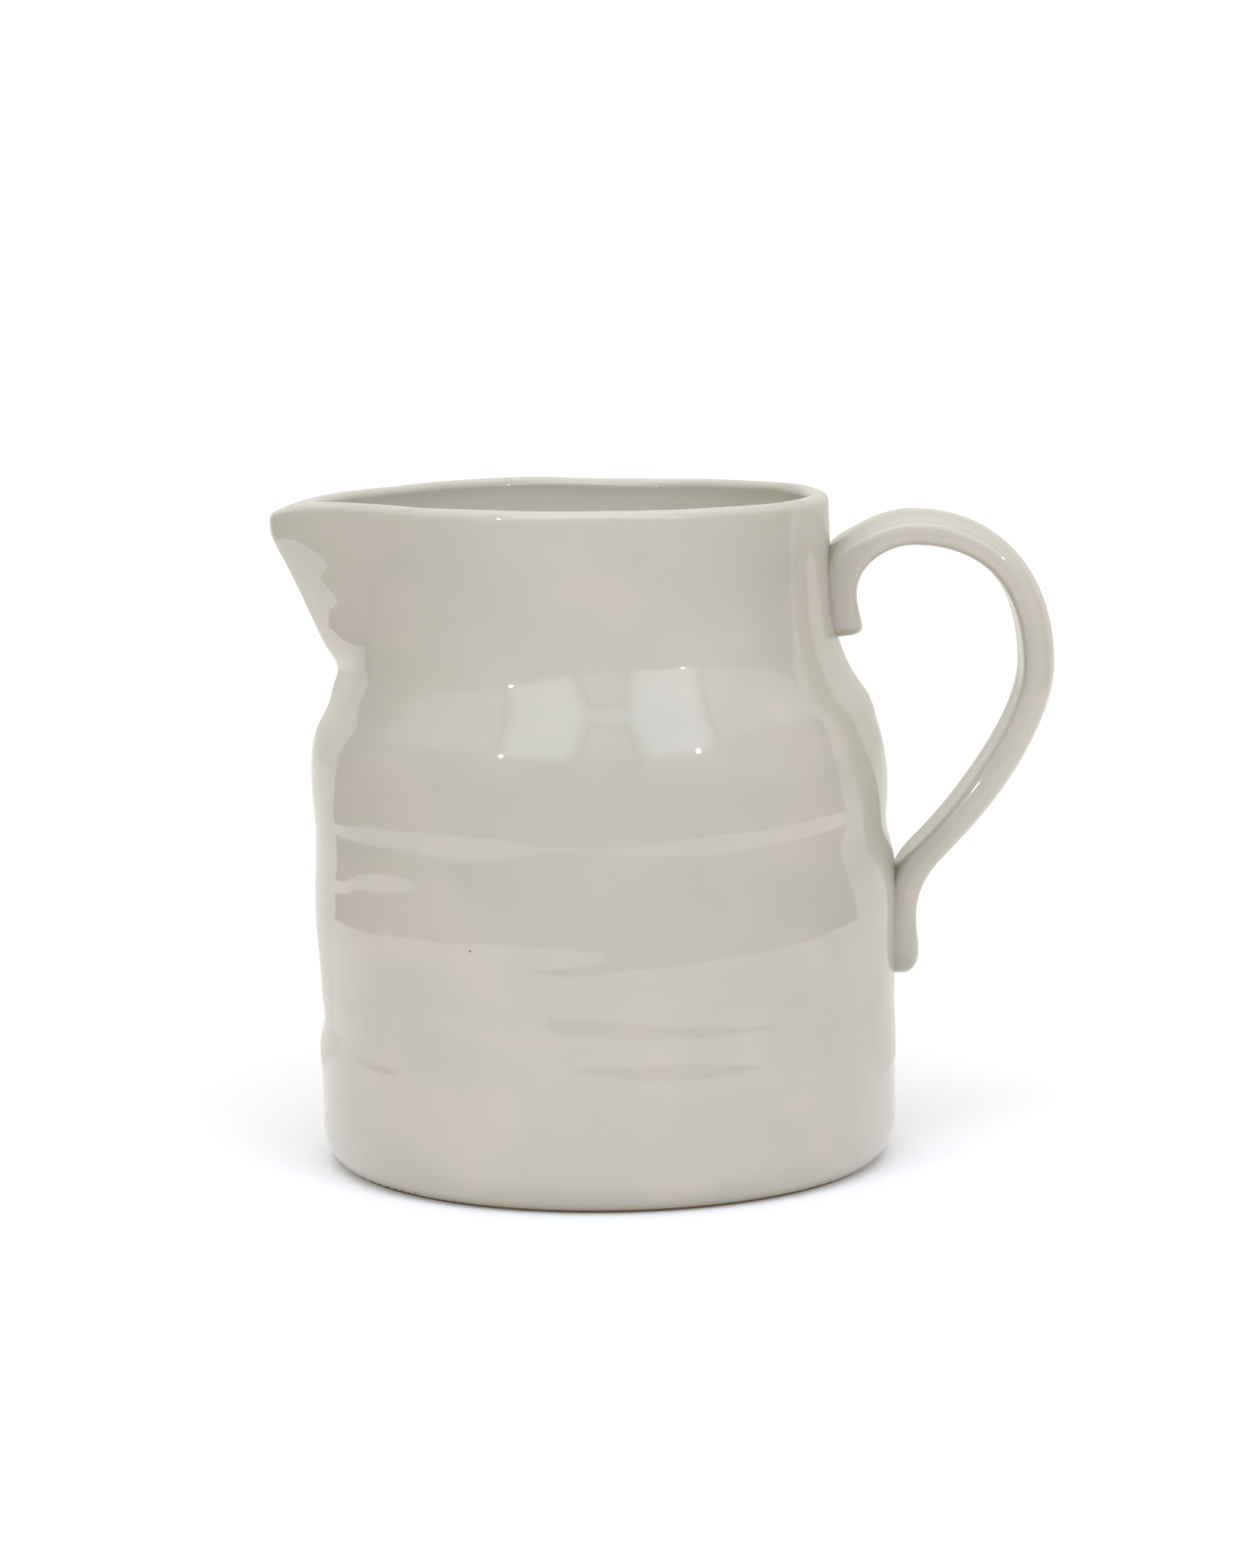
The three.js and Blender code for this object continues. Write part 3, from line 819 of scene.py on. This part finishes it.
UPPER_FILLET_TOP = 165.8 * MM
LOWER_FILLET_TOP = 78.3 * MM
FILLET_POINTS = 220
tail_width = STRAP_HALF_WIDTH - 1.3 * MM
upper_outline = tail_outline(
    UPPER_TIP + 1.1 * MM, UPPER_FILLET_TOP, tail_width, 5 * MM, 3 * MM, FILLET_POINTS
)
lower_outline = tail_outline(
    LOWER_TIP + 1.5 * MM, LOWER_FILLET_TOP, tail_width, 9 * MM, 3 * MM, FILLET_POINTS
)
slip_joint("upper_slip_joint", "upper_handle_slip_joint", upper_outline, 3.8 * MM)
slip_joint("lower_slip_joint", "lower_handle_slip_joint", lower_outline, 3.0 * MM)

# ---------------------------------------------------------------------------------------------------------
# The foot: a ring of bare clay, wiped clean of glaze so that the pitcher doesn't fuse to the kiln shelf,
# and the thin layer of slip that holds it to the pot. The ring is turned: one section swept round a circle.
# ---------------------------------------------------------------------------------------------------------
FOOT_RADIUS = 72.4 * MM
FOOT_WIDTH = 8 * MM
FOOT_HEIGHT = 3.7 * MM
FOOT_EDGE = 0.5 * MM


def turned_ring_tree():
    """A ring on z = 0: a rectangle with rounded edges swept round a circle and roughened a little."""
    tree = bpy.data.node_groups.new("turned_ring", "GeometryNodeTree")
    socket = tree.interface.new_socket
    for label in ("Outer radius", "Width", "Height", "Edge", "Roughening"):
        socket(label, in_out="INPUT", socket_type="NodeSocketFloat")
    socket("Centre", in_out="INPUT", socket_type="NodeSocketVector")
    socket("Clay", in_out="INPUT", socket_type="NodeSocketMaterial")
    socket("Ring", in_out="OUTPUT", socket_type="NodeSocketGeometry")
    given = add_node(tree, "NodeGroupInput").outputs

    def math_of(operation, first, second):
        return add_node(tree, "ShaderNodeMath", {0: first, 1: second}, operation=operation).outputs[0]

    middle = math_of("SUBTRACT", given["Outer radius"], math_of("MULTIPLY", given["Width"], 0.5))
    circle = add_node(tree, "GeometryNodeCurvePrimitiveCircle", {"Resolution": 288, "Radius": middle})
    block = add_node(
        tree, "GeometryNodeCurvePrimitiveQuadrilateral", {"Width": given["Width"], "Height": given["Height"]}
    )
    eased = add_node(
        tree,
        "GeometryNodeFilletCurve",
        {"Curve": block.outputs[0], "Radius": given["Edge"], "Count": 4},
        mode="POLY",
    )
    swept = add_node(
        tree, "GeometryNodeCurveToMesh", {"Curve": circle.outputs[0], "Profile Curve": eased.outputs[0]}
    )
    half_up = add_node(tree, "ShaderNodeCombineXYZ", {"Z": math_of("MULTIPLY", given["Height"], 0.5)})
    lifted = add_node(
        tree, "ShaderNodeVectorMath", {0: given["Centre"], 1: half_up.outputs[0]}, operation="ADD"
    )
    placed = add_node(
        tree, "GeometryNodeTransform", {"Geometry": swept.outputs[0], "Translation": lifted.outputs[0]}
    )
    grain = add_node(tree, "ShaderNodeTexNoise", {"Scale": 1 / 0.006, "Detail": 2})
    push = add_node(
        tree, "ShaderNodeVectorMath", {0: grain.outputs[1], 1: (0.5, 0.5, 0.5)}, operation="SUBTRACT"
    )
    scaled = add_node(
        tree, "ShaderNodeVectorMath", {0: push.outputs[0], "Scale": given["Roughening"]}, operation="SCALE"
    )
    flat = add_node(tree, "ShaderNodeVectorMath", {0: scaled.outputs[0], 1: (1, 1, 0)}, operation="MULTIPLY")
    rough = add_node(
        tree, "GeometryNodeSetPosition", {"Geometry": placed.outputs[0], "Offset": flat.outputs[0]}
    )
    smooth_faces = add_node(tree, "GeometryNodeSetShadeSmooth", {0: rough.outputs[0]})
    whole = add_node(tree, "GeometryNodeRealizeInstances", {0: smooth_faces.outputs[0]})
    clay = add_node(
        tree, "GeometryNodeSetMaterial", {"Geometry": whole.outputs[0], "Material": given["Clay"]}
    )
    add_node(tree, "NodeGroupOutput", {"Ring": clay.outputs[0]})
    return tree


# Bare stoneware, fired but unglazed and wiped with a sponge: matt, sandy and toasted brown at the edge.
def bare_stoneware():
    material = bpy.data.materials.new("bare_stoneware")
    material.use_nodes = True
    tree = material.node_tree
    tree.nodes.clear()
    place = add_node(tree, "ShaderNodeTexCoord").outputs["Object"]
    # Toasting in patches of about 12 mm, sand grains of 0.6 mm.
    toast = add_node(tree, "ShaderNodeTexNoise", {"Vector": place, "Scale": 1 / 0.012, "Detail": 3})
    sand = add_node(tree, "ShaderNodeTexNoise", {"Vector": place, "Scale": 1 / 0.0006, "Detail": 2})
    tone = mixed(tree, toast.outputs[0], from_hex("8a735a"), from_hex("b49f86"))
    tone = mixed(tree, sand.outputs[0], tone, from_hex("76624c"))
    bump = add_node(tree, "ShaderNodeBump", {"Height": sand.outputs[0], "Distance": 0.00008})
    shader = add_node(
        tree,
        "ShaderNodeBsdfPrincipled",
        {"Base Color": tone, "Roughness": 0.88, "Specular IOR Level": 0.3, "Normal": bump.outputs[0]},
    )
    add_node(tree, "ShaderNodeOutputMaterial", {"Surface": shader.outputs[0]})
    return material


clay = bare_stoneware()
ring_nodes = turned_ring_tree()


def turned_ring(name, node, sizes):
    piece = bpy.data.objects.new(name, bpy.data.meshes.new(name))
    bpy.context.scene.collection.objects.link(piece)
    modifier = piece.modifiers.new("turn", "NODES")
    modifier.node_group = ring_nodes
    set_inputs(modifier, sizes)
    evaluated = piece.evaluated_get(bpy.context.evaluated_depsgraph_get())
    piece_mesh = bpy.data.meshes.new_from_object(evaluated)
    piece.modifiers.clear()
    piece.data = piece_mesh
    piece_mesh.set_sharp_from_angle(angle=math.radians(50))
    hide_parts(node)
    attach(piece, "root")


turned_ring(
    "foot",
    "foot_ring",
    {
        "Outer radius": FOOT_RADIUS,
        "Width": FOOT_WIDTH,
        "Height": FOOT_HEIGHT,
        "Edge": FOOT_EDGE,
        "Roughening": 0.15 * MM,
        "Centre": (AXIS_X, 0, 0),
        "Clay": clay,
    },
)
turned_ring(
    "foot_slip",
    "foot_ring_slip_joint",
    {
        "Outer radius": FOOT_RADIUS - 1.2 * MM,
        "Width": FOOT_WIDTH - 0.6 * MM,
        "Height": 0.5 * MM,
        "Edge": 0.15 * MM,
        "Roughening": 0.1 * MM,
        "Centre": (AXIS_X, 0, FOOT_HEIGHT - 0.1 * MM),
        "Clay": clay,
    },
)

# ---------------------------------------------------------------------------------------------------------
# The studio: a pale floor in a white room, a soft panel and a small bulb on either side in front, and a
# panel overhead. Cloth that only reflections see hangs round it, dark in front and pale behind the pitcher.
# ---------------------------------------------------------------------------------------------------------
scene = bpy.context.scene
scene.view_settings.view_transform = "Standard"
scene.view_settings.look = "None"
world = bpy.data.worlds.new("white_room")
scene.world = world
world.use_nodes = True
room = world.node_tree
direction = add_node(room, "ShaderNodeTexCoord").outputs["Generated"]
height = add_node(room, "ShaderNodeSeparateXYZ", {0: direction})
ceiling = add_node(
    room,
    "ShaderNodeMapRange",
    {"Value": height.outputs["Z"], "From Min": 0.3, "From Max": 0.55, "To Min": 0.48, "To Max": 0.74},
    interpolation_type="SMOOTHSTEP",
)
horizon = add_node(
    room,
    "ShaderNodeMapRange",
    {"Value": height.outputs["Z"], "From Min": 0.1, "From Max": 0.24, "To Min": 0.62, "To Max": 0},
    interpolation_type="SMOOTHSTEP",
)
zenith = add_node(
    room,
    "ShaderNodeMapRange",
    {"Value": height.outputs["Z"], "From Min": 0.75, "From Max": 0.95, "To Min": 0, "To Max": 0.8},
    interpolation_type="SMOOTHSTEP",
)
above = add_node(room, "ShaderNodeMath", {0: ceiling.outputs[0], 1: zenith.outputs[0]}, operation="ADD")
seen = add_node(room, "ShaderNodeLightPath").outputs["Is Camera Ray"]
backdrop = add_node(room, "ShaderNodeMath", {0: horizon.outputs[0], 1: seen}, operation="MULTIPLY")
level = add_node(room, "ShaderNodeMath", {0: above.outputs[0], 1: backdrop.outputs[0]}, operation="ADD")
room.nodes["Background"].inputs["Color"].default_value = (1.0, 0.98, 0.945, 1)
room.links.new(level.outputs[0], room.nodes["Background"].inputs["Strength"])


def plain_material(name, colour, roughness):
    material = bpy.data.materials.new(name)
    material.use_nodes = True
    shader = material.node_tree.nodes["Principled BSDF"]
    shader.inputs["Base Color"].default_value = from_hex(colour)
    shader.inputs["Roughness"].default_value = roughness
    shader.inputs["Emission Color"].default_value = (1, 1, 1, 1)
    return material


FLOOR_RADIUS = 12
rim_turn = np.linspace(0, 2 * math.pi, 96, endpoint=False)
floor_points = np.stack([FLOOR_RADIUS * np.cos(rim_turn), FLOOR_RADIUS * np.sin(rim_turn), 0 * rim_turn], 1)
floor = make_piece("floor", floor_points, [list(range(96))])
paper = plain_material("white_paper", "f3f1f1", 0.7)
paper_tree = paper.node_tree
distance = add_node(
    paper_tree, "ShaderNodeVectorMath", {0: add_node(paper_tree, "ShaderNodeTexCoord").outputs["Object"]},
    operation="LENGTH",
)
fade = add_node(
    paper_tree,
    "ShaderNodeMapRange",
    {"Value": distance.outputs["Value"], "From Min": 0.3, "From Max": 3.0, "To Min": 0.1, "To Max": 0.4},
)
paper_tree.links.new(fade.outputs[0], paper_tree.nodes["Principled BSDF"].inputs["Emission Strength"])
floor.data.materials.append(paper)

TABLE_EDGE = 0.4
CLOTH_RADIUS = 2.2
CLOTH_TOP = 1.1


def hung_cloth(name, colour, start, end, reach):
    """Cloth round the table's edge and up, from start to end degrees to the right of the camera's side."""
    turn = np.radians(np.linspace(start, end, 83))
    table_rim = np.minimum(TABLE_EDGE / np.maximum(np.cos(turn), 0.01), reach)
    points = np.concatenate(
        [
            np.stack([AXIS_X + radius * np.sin(turn), -radius * np.cos(turn), 0 * turn + z], 1)
            for radius, z in ((table_rim, 0.002), (CLOTH_RADIUS, 0.002), (CLOTH_RADIUS, CLOTH_TOP))
        ]
    )
    cloth = make_piece(name, points, quads(np.arange(len(points)).reshape(3, -1)))
    cloth.data.materials.append(plain_material(name, colour, 0.9))
    cloth.visible_camera = False
    cloth.visible_diffuse = False
    cloth.visible_shadow = False


hung_cloth("dark_surround", "6a6864", -126, 109, 0.52)
hung_cloth("pale_surround", "ece9e2", 109, 234, 0.15)


def aimed(thing, turn, lift, distance):
    """Stands a light turn degrees to the right of the camera's side and lift degrees up, facing the pot."""
    across, up = math.radians(turn), math.radians(lift)
    way = Vector((math.sin(across) * math.cos(up), -math.cos(across) * math.cos(up), math.sin(up)))
    thing.location = Vector((AXIS_X, 0, 0.11)) + way * distance
    thing.rotation_euler = way.to_track_quat("Z", "Y").to_euler()
    scene.collection.objects.link(thing)


# Cloth panels lit from behind: bright in the middle and falling off towards their edges.
def lit_cloth(width, height, strength):
    material = bpy.data.materials.new("lit_cloth")
    material.use_nodes = True
    tree = material.node_tree
    tree.nodes.clear()
    place = add_node(tree, "ShaderNodeTexCoord").outputs["Object"]
    reach = (2 / width, 2 / height, 1)
    spread = add_node(tree, "ShaderNodeVectorMath", {0: place, 1: reach}, operation="MULTIPLY").outputs[0]
    parts = add_node(tree, "ShaderNodeSeparateXYZ", {0: spread})
    level = strength
    for axis in ("X", "Y"):
        off = add_node(tree, "ShaderNodeMath", {0: parts.outputs[axis]}, operation="ABSOLUTE").outputs[0]
        fall = add_node(
            tree,
            "ShaderNodeMapRange",
            {"Value": off, "From Min": 0.55, "From Max": 1.0, "To Min": 1, "To Max": 0},
            interpolation_type="SMOOTHSTEP",
        ).outputs[0]
        level = add_node(tree, "ShaderNodeMath", {0: level, 1: fall}, operation="MULTIPLY").outputs[0]
    glow = add_node(tree, "ShaderNodeEmission", {"Color": (0.76, 0.86, 1.0, 1), "Strength": level})
    dark_back = add_node(tree, "ShaderNodeBsdfTransparent")
    facing = add_node(tree, "ShaderNodeNewGeometry").outputs["Backfacing"]
    shown = add_node(tree, "ShaderNodeMixShader", {0: facing, 1: glow.outputs[0], 2: dark_back.outputs[0]})
    add_node(tree, "ShaderNodeOutputMaterial", {"Surface": shown.outputs[0]})
    return material


def panel(name, turn, lift, width, height, strength):
    corners = np.array([(x * width, y * height, 0) for y in (-1, 1) for x in (-1, 1)]) / 2
    card = make_piece(name, corners, [[0, 2, 3, 1]])
    scene.collection.objects.unlink(card)
    card.data.materials.append(lit_cloth(width, height, strength))
    card.visible_camera = False
    card.visible_shadow = False
    aimed(card, turn, lift, 1.5)


def bulb(name, turn, lift, power):
    light = bpy.data.lights.new(name, "AREA")
    light.size = 0.032
    light.energy = power
    aimed(bpy.data.objects.new(name, light), turn, lift, 1.45)


panel("left_panel", -26, 36, 0.9, 0.8, 2.3)
panel("right_panel", 34, 36, 0.95, 0.8, 2.6)
panel("overhead_panel", 0, 60, 1.8, 1.0, 3.9)
bulb("left_bulb", -40, 24, 1.7)
bulb("right_bulb", 42, 24, 1.7)

# The camera: a long lens a little above the rim, looking slightly down.
camera_data = bpy.data.cameras.new("camera")
camera_data.lens = 100
camera_data.sensor_width = 36
camera = bpy.data.objects.new("camera", camera_data)
scene.collection.objects.link(camera)
camera.location = (AXIS_X, -1.166, 0.265)
camera.rotation_mode = "QUATERNION"
pitch, pan, roll = math.radians(90 - 8.0), math.radians(-0.3), math.radians(-0.74)
turned_camera = Matrix.Rotation(pan, 4, "Z") @ Matrix.Rotation(pitch, 4, "X") @ Matrix.Rotation(roll, 4, "Z")
camera.rotation_quaternion = turned_camera.to_quaternion()
scene.camera = camera
